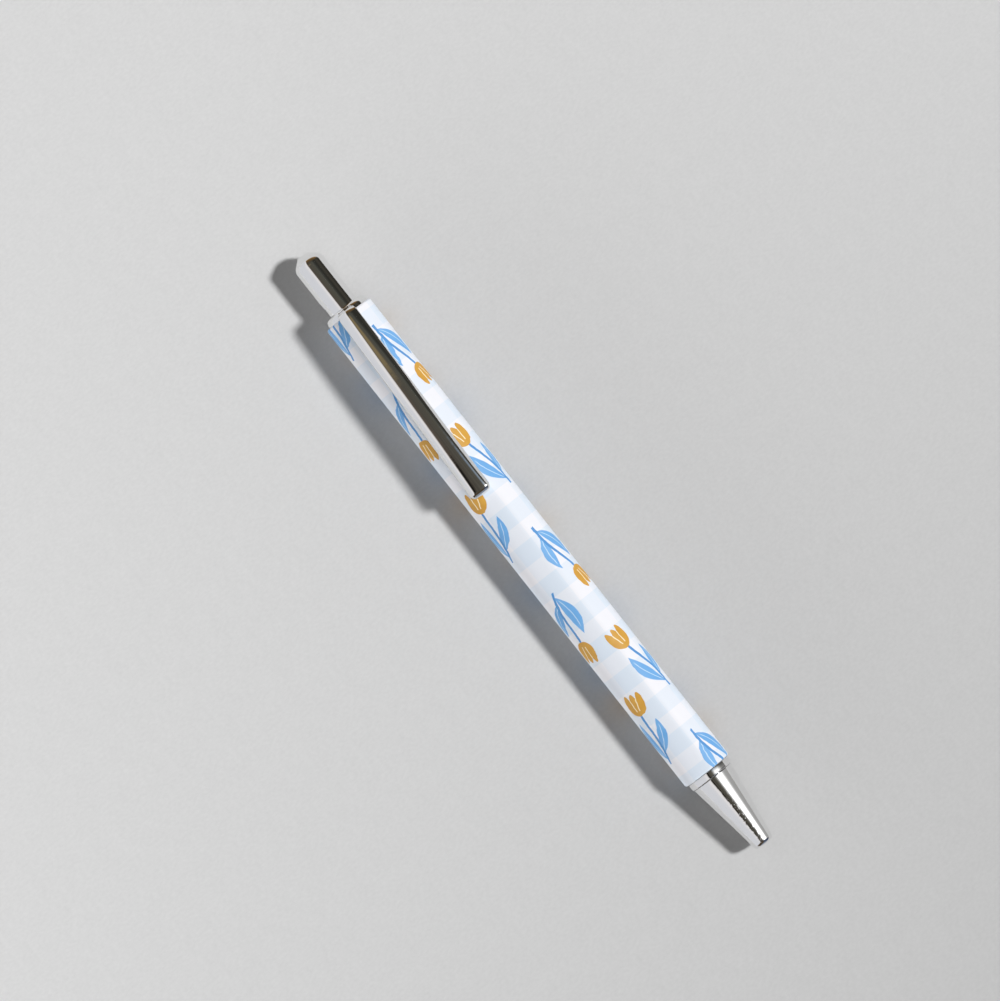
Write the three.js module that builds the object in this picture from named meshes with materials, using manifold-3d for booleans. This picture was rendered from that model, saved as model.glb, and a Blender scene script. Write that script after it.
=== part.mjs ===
// A click ballpoint pen with a printed film round its barrel, lying clip up on a flat surface.
// Millimetres. +X runs from the push button to the writing tip, +Z is up, and the origin is on the
// surface under the middle of the pen. Every turned piece is drawn about the pen's own axis.
import * as THREE from "three";
import { mergeVertices } from "three/addons/utils/BufferGeometryUtils.js";
import Module from "manifold-3d";

const wasm = await Module();
wasm.setup();

// Lengths seen along the pen, from the button's end to the cone's end
const buttonShown = 12.4;
const collarShown = 1.6;
const barrelLength = 108.6;
const ringLength = 1.36;
const jointGap = 0.08;
const coneLength = 15.88;

// Clearances
const slideClearance = 0.1;
const pressClearance = 0.04;
const seatGap = 0.1;

// Radii and walls from the button outwards, through the click mechanism to the printed film
const buttonRadius = 3.15;
const grooveDepth = 0.55;
const sleeveWall = 0.43;
const barrelWall = 0.7;
const filmClearance = 0.03;
const filmThickness = 0.1;
const barrelEndRound = 0.5;

// Push button, a deep cap on the plunger's stem
const buttonWall = 0.75;
const buttonEndWall = 1.6;
const buttonEndRound = 2.0;
const pressTravel = 5.8;

// Collar, the rear bush that guides the button and holds the clip
const collarStep = 0.27;
const collarEndRound = 1.1;
const spigotLength = 4.0;

// Click mechanism: plunger, turning rotor and the ribbed sleeve round both
const sleeveLength = 18.0;
const keyLength = 9.4;
const grooveCount = 4;
const grooveAngle = 30;
const keyPlay = 1.5;
const rotorPlay = 3.0;
const toothHeight = 0.8;
const toothGap = 0.3;
const latchTravel = 4.6;
const rotorHeadLength = 4.0;
const rotorLength = 8.2;
const rotorPinRadius = 1.4;
const rotorPinLength = 3.5;
const socketDepth = 4.0;
const socketWall = 0.5;

// Clip, one stamped strip with a foot caught between the collar and the barrel
const clipLength = 43.0;
const clipThickness = 0.45;
const clipRootWidth = 4.06;
const clipEndWidth = 4.3;
const clipLegWidth = 2.4;
const clipLegInset = 0.55;
const clipRootHeight = 2.1;
const clipEndHeight = 2.6;
const clipCrown = 0.75;
const clipRootBend = 1.5;
const clipLipBend = 1.4;
const clipLipGap = 0.15;
const clipLean = 1.48;
const clipFootLength = 1.8;
const clipFootClearance = 0.12;

// Refill: tube, tip holder, writing tip, ball, ink and grease
const refillRadius = 1.5;
const refillWall = 0.35;
const holderLength = 6.0;
const holderSpigotLength = 4.0;
const holderTaper = 2.0;
const holderBoreRadius = 0.5;
const tipRadius = 1.15;
const tipBoreRadius = 0.25;
const tipSpigotRadius = 0.8;
const tipSpigotLength = 3.0;
const tipConeLength = 3.2;
const tipRimRadius = 0.44;
const ballRadius = 0.35;
const ballShown = 0.13;
const tipDrawnIn = 2.0;
const inkLength = 62.0;
const greaseLength = 3.0;

// Return spring between the refill's stop ring and the seat in the cone
const springWire = 0.4;
const springLength = 22.0;
const springTurns = 14;
const springClearance = 0.25;
const stopRingLength = 0.7;

// Nose cone with its screwed shank, the ring it clamps and the bush it screws into
const coneStep = 0.25;
const coneEndWall = 0.575;
const coneEndRound = 0.9;
const coneWall = 0.64;
const seatTaper = 1.5;
const springRoom = 0.35;
const shankWall = 0.8;
const shankLength = 9.5;
const threadClearance = 0.1;
const bushLength = 11.0;

// Facets: a multiple of four, so that a flat lies squarely under the pen
const roundSides = 32;
const smallSides = 16;
const cornerSteps = 4;

// Stations along the axis
const penLength = buttonShown + collarShown + barrelLength + ringLength + 2 * jointGap + coneLength;
const buttonBack = -penLength / 2;
const collarBack = buttonBack + buttonShown;
const barrelBack = collarBack + collarShown;
const barrelFront = barrelBack + barrelLength;
const ringBack = barrelFront + jointGap;
const ringFront = ringBack + ringLength;
const coneBack = ringFront + jointGap;
const coneFront = coneBack + coneLength;

// Radii of the nested pieces
const collarBore = buttonRadius + slideClearance;
const ribRadius = collarBore;
const grooveRadius = ribRadius + grooveDepth;
const sleeveRadius = grooveRadius + sleeveWall;
const barrelBore = sleeveRadius + pressClearance;
const barrelRadius = barrelBore + barrelWall;
const filmBore = barrelRadius + filmClearance;
const filmRadius = filmBore + filmThickness;
const collarRadius = barrelRadius - collarStep;
const refillBore = refillRadius - refillWall;
const springInnerRadius = refillRadius + springClearance;
const springMeanRadius = springInnerRadius + springWire / 2;
const coneBore = springInnerRadius + springWire + springRoom;
const shankRadius = coneBore + shankWall;
const bushBore = shankRadius + threadClearance;
const axisHeight = filmRadius * Math.cos(Math.PI / roundSides);

// Stations of the mechanism, the refill and the spring
const spigotFront = barrelBack + spigotLength;
const shoulderBack = spigotFront + seatGap;
const teethBack = shoulderBack + keyLength;
const rotorFront = teethBack + rotorLength;
const socketBack = rotorFront - socketDepth;
const refillBack = socketBack + seatGap;
const ballFront = coneFront - tipDrawnIn;
const tipFront = ballFront - ballShown;
const coneBaseRadius = collarRadius - coneStep;
const coneEndRadius = tipRadius + slideClearance + coneEndWall;
const coneSlope = (coneBaseRadius - coneEndRadius) / coneLength;
const springSeat = coneBack + (coneBaseRadius - coneBore - coneWall) / coneSlope;
const stopRingFront = springSeat - springLength;
const holderFront = springSeat - pressTravel - seatGap;
const holderBack = holderFront - holderLength;
const holderSpigotBack = holderBack - holderSpigotLength;
const inkFront = holderSpigotBack - seatGap;
const inkBack = inkFront - inkLength;

// Points of an elliptical corner in a turned profile, from one angle to another in degrees
function corner(x, radius, reachX, reachRadius, from, to) {
  return Array.from({ length: cornerSteps + 1 }, (_, step) => {
    const angle = THREE.MathUtils.degToRad(from + ((to - from) * step) / cornerSteps);
    return [x + reachX * Math.cos(angle), radius + reachRadius * Math.sin(angle)];
  });
}

// A solid turned about the pen's axis from [x, radius] points, closed on itself or on the axis
function turned(profile, sides = roundSides) {
  const onAxis = profile[0][1] === 0;
  const loop = onAxis ? profile : [...profile, profile[0]];
  const points = loop.map(([x, radius]) => new THREE.Vector2(radius, x));
  const geometry = new THREE.LatheGeometry(points, sides, Math.PI / sides);
  return geometry.rotateZ(-Math.PI / 2);
}

function tube(back, front, bore, radius, sides = roundSides) {
  return turned([[back, bore], [back, radius], [front, radius], [front, bore]], sides);
}

function rod(back, front, radius, sides = roundSides) {
  return turned([[back, 0], [back, radius], [front, radius], [front, 0]], sides);
}

// Triangles across an end face whose points run along one side and back along the other
function endFace(count) {
  const faces = [];
  for (let side = 0; side + 1 < count - 1 - side; side += 1) {
    const below = count - 1 - side;
    faces.push([side, below - 1, below]);
    if (side + 1 < below - 1) faces.push([side, side + 1, below - 1]);
  }
  return faces;
}

// A skin through sections that have the same number of points, open with two end faces, or closed
// in a ring
function lofted(sections, closed = false) {
  const count = sections[0].length;
  const positions = sections.flat().flatMap((point) => point.toArray());
  const faces = [];
  const spans = closed ? sections.length : sections.length - 1;
  for (let span = 0; span < spans; span += 1) {
    const here = span * count;
    const next = ((span + 1) % sections.length) * count;
    for (let side = 0; side < count; side += 1) {
      const turn = (side + 1) % count;
      faces.push([here + side, next + side, next + turn]);
      faces.push([here + side, next + turn, here + turn]);
    }
  }
  if (!closed) {
    const last = (sections.length - 1) * count;
    faces.push(...endFace(count));
    faces.push(...endFace(count).map(([a, b, c]) => [last + a, last + c, last + b]));
  }
  const geometry = new THREE.BufferGeometry();
  geometry.setAttribute("position", new THREE.Float32BufferAttribute(positions, 3));
  geometry.setIndex(faces.flat());
  geometry.computeVertexNormals();
  return geometry;
}

// A block between two radii, over angles in degrees from +Z towards +Y. Its back and front faces
// may change with the angle.
function sector(bore, radius, angles, back, front, closed = false) {
  const sections = angles.map((angle) => {
    const across = Math.sin(THREE.MathUtils.degToRad(angle));
    const up = Math.cos(THREE.MathUtils.degToRad(angle));
    const at = (x, reach) => new THREE.Vector3(x, reach * across, reach * up);
    return [
      at(back(angle), bore),
      at(front(angle), bore),
      at(front(angle), radius),
      at(back(angle), radius),
    ];
  });
  return lofted(sections, closed);
}

function anglesBetween(from, to, steps) {
  return Array.from({ length: steps + 1 }, (_, step) => from + ((to - from) * step) / steps);
}

function block(low, high) {
  const size = new THREE.Vector3(...high).sub(new THREE.Vector3(...low));
  const geometry = new THREE.BoxGeometry(size.x, size.y, size.z);
  return geometry.translate(low[0] + size.x / 2, low[1] + size.y / 2, low[2] + size.z / 2);
}

function solid(geometry) {
  const bare = geometry.clone();
  bare.deleteAttribute("normal");
  bare.deleteAttribute("uv");
  const merged = mergeVertices(bare);
  const vertProperties = merged.attributes.position.array;
  const triVerts = new Uint32Array(merged.index.array);
  return new wasm.Manifold(new wasm.Mesh({ numProp: 3, vertProperties, triVerts }));
}

function geometryOf(body) {
  const mesh = body.getMesh();
  const geometry = new THREE.BufferGeometry();
  geometry.setAttribute("position", new THREE.BufferAttribute(mesh.vertProperties, 3));
  geometry.setIndex(new THREE.BufferAttribute(mesh.triVerts, 1));
  geometry.computeVertexNormals();
  return geometry;
}

function joined(geometries) {
  return geometryOf(geometries.map(solid).reduce((whole, piece) => whole.add(piece)));
}

// Push button: a cap with a bullnose end and a small flat
function pushButton() {
  const bore = buttonRadius - buttonWall;
  const roundX = buttonBack + buttonEndRound;
  const roundRadius = buttonRadius - buttonEndRound;
  return turned([
    [buttonBack, 0],
    ...corner(roundX, roundRadius, buttonEndRound, buttonEndRound, 180, 90),
    [shoulderBack, buttonRadius],
    [shoulderBack, bore],
    [buttonBack + buttonEndWall, bore],
    [buttonBack + buttonEndWall, 0],
  ]);
}

// Height of the mating teeth on the plunger and the rotor, two to each groove. One slope of a tooth
// lies over the middle of each groove.
function toothAt(angle) {
  const toothAngle = 180 / grooveCount;
  const turn = THREE.MathUtils.euclideanModulo(angle / toothAngle + 0.25, 1);
  return toothHeight * Math.abs(1 - 2 * turn);
}

// Middle angles of the sleeve's grooves
const grooves = Array.from({ length: grooveCount }, (_, turn) => (turn * 360) / grooveCount);
const allRound = anglesBetween(0, 360, 8 * grooveCount).slice(0, -1);
const moverRadius = ribRadius - slideClearance;
const keyRadius = grooveRadius - slideClearance;
const pinBore = rotorPinRadius + slideClearance;

// Plunger: stem in the button, skirt with keys in the grooves, teeth that turn the rotor
function plunger() {
  const stemRadius = buttonRadius - buttonWall - pressClearance;
  const stemBack = buttonBack + buttonEndWall + seatGap;
  const boreBack = teethBack - rotorPinLength - seatGap;
  const halfKey = grooveAngle / 2 - keyPlay;
  const body = turned([
    [stemBack, 0],
    [stemBack, stemRadius],
    [shoulderBack, stemRadius],
    [shoulderBack, moverRadius],
    [teethBack, moverRadius],
    [teethBack, pinBore],
    [boreBack, pinBore],
    [boreBack, 0],
  ]);
  const inside = (moverRadius + pinBore) / 2;
  const teeth = sector(
    pinBore,
    moverRadius,
    allRound,
    () => teethBack - toothHeight,
    (angle) => teethBack + toothAt(angle),
    true,
  );
  const keys = grooves.map((middle) =>
    sector(
      inside,
      keyRadius,
      anglesBetween(middle - halfKey, middle + halfKey, 3),
      () => shoulderBack,
      () => teethBack,
    ),
  );
  return joined([body, teeth, ...keys]);
}

// Rotor: pin in the plunger, toothed head with ribs in the grooves, socket for the refill's tail
function camRotor() {
  const headBack = teethBack + toothHeight + toothGap;
  const headFront = headBack + rotorHeadLength;
  const socketRadius = refillRadius + pressClearance;
  const halfRib = grooveAngle / 2 - rotorPlay;
  const body = turned([
    [teethBack - rotorPinLength, 0],
    [teethBack - rotorPinLength, rotorPinRadius],
    [headBack, rotorPinRadius],
    [headBack, moverRadius],
    [headFront, moverRadius],
    [headFront, socketRadius + socketWall],
    [rotorFront, socketRadius + socketWall],
    [rotorFront, socketRadius],
    [socketBack, socketRadius],
    [socketBack, 0],
  ]);
  const teeth = sector(
    rotorPinRadius,
    moverRadius,
    allRound,
    (angle) => teethBack + toothGap + toothAt(angle),
    () => headBack + toothHeight,
    true,
  );
  const ribs = grooves.map((middle) =>
    sector(
      (moverRadius + rotorPinRadius) / 2,
      keyRadius,
      anglesBetween(middle - halfRib, middle + halfRib, 3),
      (angle) => teethBack + toothGap + toothAt(angle),
      () => headFront,
    ),
  );
  return joined([body, teeth, ...ribs]);
}

// Sleeve: ribs that guide the keys, with two slopes on the end of each rib that catch the rotor
function camSleeve() {
  const ribBack = spigotFront;
  const ribAngle = 360 / grooveCount - grooveAngle;
  const slopes = [0, 0.3, 0.46, 0.5, 0.8, 0.96, 1];
  const slopeAt = (share) => (share === 1 ? 0 : ((share * 2) % 1) * toothHeight);
  const outer = tube(spigotFront, spigotFront + sleeveLength, grooveRadius, sleeveRadius);
  const ribs = grooves.map((middle) => {
    const start = middle + grooveAngle / 2;
    return sector(
      ribRadius,
      (grooveRadius + sleeveRadius) / 2,
      slopes.map((share) => start + share * ribAngle),
      () => ribBack,
      (angle) => teethBack + latchTravel + slopeAt((angle - start) / ribAngle),
    );
  });
  return joined([outer, ...ribs]);
}

// Where the clip's leg and foot lie, shared with the collar's notch
const legBack = collarBack + clipLegInset;
const legSide = clipLegWidth / 2;
const boreFlat = barrelBore * Math.cos(Math.PI / roundSides);
const footTop = Math.sqrt((boreFlat - clipFootClearance) ** 2 - legSide ** 2);
const footBottom = footTop - clipThickness;
const footFront = legBack + clipFootLength;

// Collar: a rounded flange on the barrel's end, a spigot inside it and a notch for the clip
function topCollar() {
  const body = turned([
    [collarBack, collarBore],
    ...corner(
      collarBack + collarEndRound,
      collarRadius - collarEndRound,
      collarEndRound,
      collarEndRound,
      180,
      90,
    ),
    [barrelBack, collarRadius],
    [barrelBack, sleeveRadius],
    [spigotFront, sleeveRadius],
    [spigotFront, collarBore],
  ]);
  const notch = block(
    [legBack - clipFootClearance, -legSide - clipFootClearance, footBottom - clipFootClearance],
    [footFront + clipFootClearance, legSide + clipFootClearance, collarRadius + clipThickness],
  );
  return geometryOf(solid(body).subtract(solid(notch)));
}

// One section of the clip's strip: an arched band at a place on its crown line, square to the
// direction that the line heads in
function clipSection({ x, z, heading, width, crown }) {
  const steps = 8;
  const outX = -Math.sin(heading);
  const outZ = Math.cos(heading);
  const side = (share, depth) => {
    const drop = crown * share * share + depth;
    return new THREE.Vector3(x - outX * drop, (share * width) / 2, z - outZ * drop);
  };
  const shares = anglesBetween(-1, 1, steps);
  const upper = shares.map((share) => side(share, 0));
  const lower = shares.map((share) => side(share, clipThickness)).reverse();
  return [...upper, ...lower];
}

// Clip: leg up from the collar, a shoulder that widens, a long arched run and a lip down to the film
function clip() {
  const rootCrownHeight = filmRadius + clipRootHeight;
  const endCrownHeight = filmRadius + clipEndHeight;
  const lipX = legBack + clipLength;
  const rise = Math.atan2(endCrownHeight - rootCrownHeight, clipLength);
  const bendSteps = 6;
  const runSteps = 8;
  const lerp = THREE.MathUtils.lerp;
  const bend = (centreX, centreZ, radius, heading) => ({
    x: centreX - radius * Math.sin(heading),
    z: centreZ + radius * Math.cos(heading),
    heading,
  });
  const leg = {
    x: legBack,
    z: footBottom,
    heading: Math.PI / 2,
    width: clipLegWidth,
    crown: 0,
  };
  const shoulder = anglesBetween(0, 1, bendSteps).map((share) => ({
    ...bend(
      legBack + clipRootBend,
      rootCrownHeight - clipRootBend,
      clipRootBend,
      lerp(Math.PI / 2, rise, share),
    ),
    width: lerp(clipLegWidth, clipRootWidth, share),
    crown: lerp(0, clipCrown, share * share),
  }));
  const lip = anglesBetween(0, 1, bendSteps).map((share) => ({
    ...bend(lipX - clipLipBend, endCrownHeight - clipLipBend, clipLipBend, lerp(rise, -Math.PI / 2, share)),
    width: clipEndWidth,
    crown: clipCrown,
  }));
  const from = shoulder.at(-1);
  const to = lip[0];
  const run = anglesBetween(0, 1, runSteps)
    .slice(1, -1)
    .map((share) => ({
      x: lerp(from.x, to.x, share),
      z: lerp(from.z, to.z, share),
      heading: rise,
      width: lerp(clipRootWidth, clipEndWidth, share),
      crown: clipCrown,
    }));
  const hem = { ...lip.at(-1), z: filmRadius + clipLipGap };
  const strip = lofted([leg, ...shoulder, ...run, ...lip, hem].map(clipSection));
  const foot = block([legBack, -legSide, footBottom], [footFront, legSide, footTop]);
  return joined([strip, foot]);
}

// Barrel tube with rounded ends, bored for the mechanism and the thread bush
function barrelTube() {
  const round = barrelEndRound - filmThickness - filmClearance;
  const roundRadius = barrelRadius - round;
  return turned([
    [barrelBack, barrelBore],
    ...corner(barrelBack + round, roundRadius, round, round, 180, 90),
    ...corner(barrelFront - round, roundRadius, round, round, 90, 0),
    [barrelFront, barrelBore],
  ]);
}

// Printed film: a thin sleeve shrunk over the barrel and its rounded ends
function printSleeve() {
  const bore = barrelEndRound - filmThickness;
  const centreRadius = filmRadius - barrelEndRound;
  const backX = barrelBack + bore;
  const frontX = barrelFront - bore;
  return turned([
    ...corner(backX, centreRadius, bore, bore, 90, 150),
    ...corner(backX, centreRadius, barrelEndRound, barrelEndRound, 150, 90),
    ...corner(frontX, centreRadius, barrelEndRound, barrelEndRound, 90, 30),
    ...corner(frontX, centreRadius, bore, bore, 30, 90),
  ]);
}

function threadBush() {
  return tube(barrelFront - bushLength, barrelFront, bushBore, sleeveRadius);
}

function lowerRing() {
  return tube(ringBack, ringFront, bushBore, collarRadius);
}

// Nose cone: screwed shank, taper, rounded mouth, and a stepped bore that seats the spring
function noseCone() {
  const mouth = tipRadius + slideClearance;
  const roundBack = coneFront - coneEndRound;
  const roundRadius = coneEndRadius + coneSlope * coneEndRound;
  const lip = (mouth + coneEndRadius) / 2;
  return turned([
    [coneBack - shankLength, coneBore],
    [coneBack - shankLength, shankRadius],
    [coneBack, shankRadius],
    [coneBack, coneBaseRadius],
    ...corner(roundBack, lip, coneEndRound, roundRadius - lip, 90, 0),
    [coneFront, mouth],
    [springSeat + seatTaper, mouth],
    [springSeat, springInnerRadius],
    [springSeat, coneBore],
  ]);
}

// Return spring: one round wire wound in a helix
function returnSpring() {
  const stepsPerTurn = 8;
  const wireSides = 5;
  const wireRadius = springWire / 2;
  const start = stopRingFront + seatGap + wireRadius;
  const end = springSeat - seatGap - wireRadius;
  const steps = springTurns * stepsPerTurn;
  const sections = anglesBetween(0, 1, steps).map((share) => {
    const turn = share * springTurns * 2 * Math.PI;
    const x = THREE.MathUtils.lerp(start, end, share);
    return Array.from({ length: wireSides }, (_, side) => {
      const angle = (side / wireSides) * 2 * Math.PI;
      const reach = springMeanRadius + wireRadius * Math.cos(angle);
      return new THREE.Vector3(
        x - wireRadius * Math.sin(angle),
        reach * Math.sin(turn),
        reach * Math.cos(turn),
      );
    });
  });
  return lofted(sections);
}

// Refill tube with the raised ring that the spring pushes on
function refillTube() {
  return turned(
    [
      [refillBack, refillBore],
      [refillBack, refillRadius],
      [stopRingFront - stopRingLength, refillRadius],
      [stopRingFront - stopRingLength, springMeanRadius],
      [stopRingFront, springMeanRadius],
      [stopRingFront, refillRadius],
      [holderBack, refillRadius],
      [holderBack, refillBore],
    ],
    smallSides,
  );
}

// Tip holder: a plug in the refill tube that narrows to the writing tip
function tipHolder() {
  return turned(
    [
      [holderSpigotBack, holderBoreRadius],
      [holderSpigotBack, refillBore - pressClearance],
      [holderBack, refillBore - pressClearance],
      [holderBack, refillRadius],
      [holderFront - holderTaper, refillRadius],
      [holderFront, tipRadius],
      [holderFront, tipSpigotRadius + pressClearance],
      [holderFront - tipSpigotLength - seatGap, tipSpigotRadius + pressClearance],
      [holderFront - tipSpigotLength - seatGap, holderBoreRadius],
    ],
    smallSides,
  );
}

// Writing tip: spigot, parallel body, cone, ink bore and the socket whose rim holds the ball
function writingTip() {
  const ballMiddle = ballFront - ballRadius;
  const socket = ballRadius + pressClearance;
  const rimReach = tipFront - ballMiddle;
  const rimBore = Math.sqrt(ballRadius ** 2 - rimReach ** 2) + pressClearance / 2;
  return turned(
    [
      [holderFront - tipSpigotLength, tipBoreRadius],
      [holderFront - tipSpigotLength, tipSpigotRadius],
      [holderFront, tipSpigotRadius],
      [holderFront, tipRadius],
      [tipFront - tipConeLength, tipRadius],
      [tipFront, tipRimRadius],
      [tipFront, rimBore],
      [ballMiddle + rimReach / 2, socket],
      [ballMiddle - socket, socket],
      [ballMiddle - socket, tipBoreRadius],
    ],
    smallSides,
  );
}

function writingBall() {
  const geometry = new THREE.SphereGeometry(ballRadius, smallSides, smallSides / 2);
  return geometry.rotateZ(Math.PI / 2).translate(ballFront - ballRadius, 0, 0);
}

function inkColumn() {
  return rod(inkBack, inkFront, refillBore - pressClearance, smallSides);
}

function greasePlug() {
  return rod(inkBack - seatGap - greaseLength, inkBack - seatGap, refillBore - pressClearance, smallSides);
}

const pen = new THREE.Group();
const axis = new THREE.Group();
axis.position.z = axisHeight;
pen.add(axis);

function add(name, geometry, color, roughness, metalness, holder = axis) {
  const material = new THREE.MeshStandardMaterial({ color, roughness, metalness });
  const mesh = new THREE.Mesh(geometry, material);
  mesh.name = name;
  holder.add(mesh);
}

// The clip leans to one side about its root
const leaning = new THREE.Group();
leaning.position.x = legBack;
leaning.rotation.z = THREE.MathUtils.degToRad(-clipLean);
axis.add(leaning);

const chrome = 0xcfcfd7;
const whitePlastic = 0xe9e9e4;
add("push_button", pushButton(), chrome, 0.12, 1);
add("plunger", plunger(), whitePlastic, 0.45, 0);
add("cam_rotor", camRotor(), 0x9fb6cc, 0.45, 0);
add("cam_sleeve", camSleeve(), 0xdcdcd6, 0.5, 0);
add("top_collar", topCollar(), chrome, 0.12, 1);
add("clip", clip().translate(-legBack, 0, 0), chrome, 0.1, 1, leaning);
add("barrel_tube", barrelTube(), 0xc9ccd0, 0.35, 1);
add("print_sleeve", printSleeve(), 0xdfe9f6, 0.35, 0);
add("thread_bush", threadBush(), 0xc8a860, 0.35, 1);
add("lower_ring", lowerRing(), chrome, 0.12, 1);
add("nose_cone", noseCone(), chrome, 0.14, 1);
add("return_spring", returnSpring(), 0xa8aab0, 0.3, 1);
add("refill_tube", refillTube(), 0xd6dde0, 0.4, 0);
add("tip_holder", tipHolder(), 0xeeeeea, 0.45, 0);
add("writing_tip", writingTip(), 0xc2b280, 0.25, 1);
add("writing_ball", writingBall(), 0x8a8c90, 0.15, 1);
add("ink_column", inkColumn(), 0x14224f, 0.3, 0);
add("grease_plug", greasePlug(), 0xd8d2a8, 0.3, 0);

export default pen;
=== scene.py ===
"""A click ballpoint pen with a printed film round its barrel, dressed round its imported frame."""
import math

import bmesh
import bpy
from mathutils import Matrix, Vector


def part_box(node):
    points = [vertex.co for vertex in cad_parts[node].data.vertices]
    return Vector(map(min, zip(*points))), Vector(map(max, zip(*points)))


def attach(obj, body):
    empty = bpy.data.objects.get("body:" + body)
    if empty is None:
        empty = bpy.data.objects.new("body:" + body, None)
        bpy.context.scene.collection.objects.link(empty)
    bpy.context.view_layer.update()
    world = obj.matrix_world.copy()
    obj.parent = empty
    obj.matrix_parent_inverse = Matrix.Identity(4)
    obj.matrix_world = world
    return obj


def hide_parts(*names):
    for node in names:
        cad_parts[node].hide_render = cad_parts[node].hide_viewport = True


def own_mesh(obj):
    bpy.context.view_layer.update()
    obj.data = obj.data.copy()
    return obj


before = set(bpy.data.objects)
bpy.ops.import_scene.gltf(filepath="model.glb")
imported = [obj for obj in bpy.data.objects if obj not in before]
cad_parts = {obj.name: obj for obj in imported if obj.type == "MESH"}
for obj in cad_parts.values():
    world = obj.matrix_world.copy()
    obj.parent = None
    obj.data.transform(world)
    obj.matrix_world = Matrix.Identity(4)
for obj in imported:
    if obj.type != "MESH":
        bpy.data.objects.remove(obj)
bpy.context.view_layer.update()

# The view: a camera square above the desk, turned so that the pen runs down to the right. The
# picture's width is measured at the height of the pen's axis.
MM = 0.001
film_low, film_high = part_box("print_sleeve")
axis_height = (film_low.z + film_high.z) / 2
picture_pixels = 1000
pixels_per_mm = 5.341
picture_width = picture_pixels / pixels_per_mm * MM
camera_x = -11.1 * MM
camera_y = 0.8 * MM
camera_height = 1500 * MM
camera_turn = 51.79
camera_data = bpy.data.cameras.new("camera")
camera_data.sensor_fit = "HORIZONTAL"
camera_data.lens = camera_data.sensor_width * (camera_height - axis_height) / picture_width
camera = bpy.data.objects.new("camera", camera_data)
camera.location = (camera_x, camera_y, camera_height)
camera.rotation_euler = (0, 0, math.radians(camera_turn))
bpy.context.scene.collection.objects.link(camera)
bpy.context.scene.camera = camera
bpy.context.scene.view_settings.view_transform = "Standard"


# The desk: matt grey-white paper with a fine cloudy grain, and isn't part of the pen. Painted shade
# darkens its colour towards the lower right of the picture, and close beside the pen.
def spread_stops(elements, stops):
    """Gives a ramp its stops, each a place between 0 and 1 and a colour."""
    elements.remove(elements[1])
    elements[0].position, elements[0].color = stops[0]
    for position, colour in stops[1:]:
        elements.new(position).color = colour


class Field:
    """A number, colour or vector that changes over a surface, held as a shader socket."""

    def __init__(self, socket):
        self.socket = socket

    def node(self, kind, settings, values, output=0):
        """Adds a node: first its settings, then the numbers or links of its sockets."""
        tree = self.socket.id_data
        node = tree.nodes.new("ShaderNode" + kind)
        for name, setting in settings.items():
            if name == "stops":
                spread_stops(node.color_ramp.elements, setting)
            else:
                setattr(node, name, setting)
        for name, value in values.items():
            if isinstance(value, Field):
                tree.links.new(value.socket, node.inputs[name])
            else:
                node.inputs[name].default_value = value
        return Field(node.outputs[output])

    def math(self, operation, *others):
        """The result of a Math node on this field and the other values."""
        return self.node("Math", {"operation": operation}, dict(enumerate((self, *others))))

    def __add__(self, other):
        return self.math("ADD", other)

    def __sub__(self, other):
        return self.math("SUBTRACT", other)

    def __rsub__(self, other):
        return self * -1 + other

    def __mul__(self, other):
        return self.math("MULTIPLY", other)

    def __truediv__(self, other):
        return self.math("DIVIDE", other)

    def __mod__(self, other):
        return self.math("FLOORED_MODULO", other)

    def __abs__(self):
        return self.math("ABSOLUTE")

    __radd__ = __add__
    __rmul__ = __mul__


def finish(name, constants):
    """A material with those constants on its shader, and the place on the piece in millimetres."""
    material = bpy.data.materials.new(name)
    material.use_nodes = True
    for socket, value in constants.items():
        material.node_tree.nodes["Principled BSDF"].inputs[socket].default_value = value
    place = Field(material.node_tree.nodes.new("ShaderNodeTexCoord").outputs["Object"])
    return material, place.node("VectorMath", {"operation": "SCALE"}, {0: place, "Scale": 1 / MM})


def feed(material, socket, field):
    """Links a field to a socket of a material's shader."""
    shader = material.node_tree.nodes["Principled BSDF"]
    material.node_tree.links.new(field.socket, shader.inputs[socket])


def noise(place, scale, detail=2.0):
    """Smooth noise between 0 and 1, with about that many swings to a millimetre."""
    return place.node("TexNoise", {}, {"Vector": place, "Scale": scale, "Detail": detail})


def stretched(place, x, y, z):
    """A place with its three coordinates multiplied."""
    return place.node("VectorMath", {"operation": "MULTIPLY"}, {0: place, 1: (x, y, z)})


def coordinate(place, output):
    """The x, y or z of a place, as output 0, 1 or 2."""
    return place.node("SeparateXYZ", {}, {0: place}, output)


def mask(depth, softness):
    """One where depth is above zero and nothing where it is below, over a soft edge."""
    return depth.node(
        "Math",
        {"operation": "MULTIPLY_ADD", "use_clamp": True},
        {0: depth, 1: 1 / softness, 2: 0.5},
    )


def painted(under, over, share):
    """A colour laid over another one where share is one."""
    return share.node("Mix", {"data_type": "RGBA"}, {0: share, 6: under, 7: over}, output=2)


def bumped(height, depth):
    """The normal of a surface whose height runs from nothing to depth, in millimetres."""
    return height.node("Bump", {}, {"Height": height, "Distance": depth * MM})


def srgb(*levels):
    """A colour for a shader from its red, green and blue on a screen, from 0 to 255."""
    shares = [level / 255 for level in levels]
    linear = [s / 12.92 if s <= 0.04045 else ((s + 0.055) / 1.055) ** 2.4 for s in shares]
    return (*linear, 1.0)


crease_angle = 32


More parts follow.
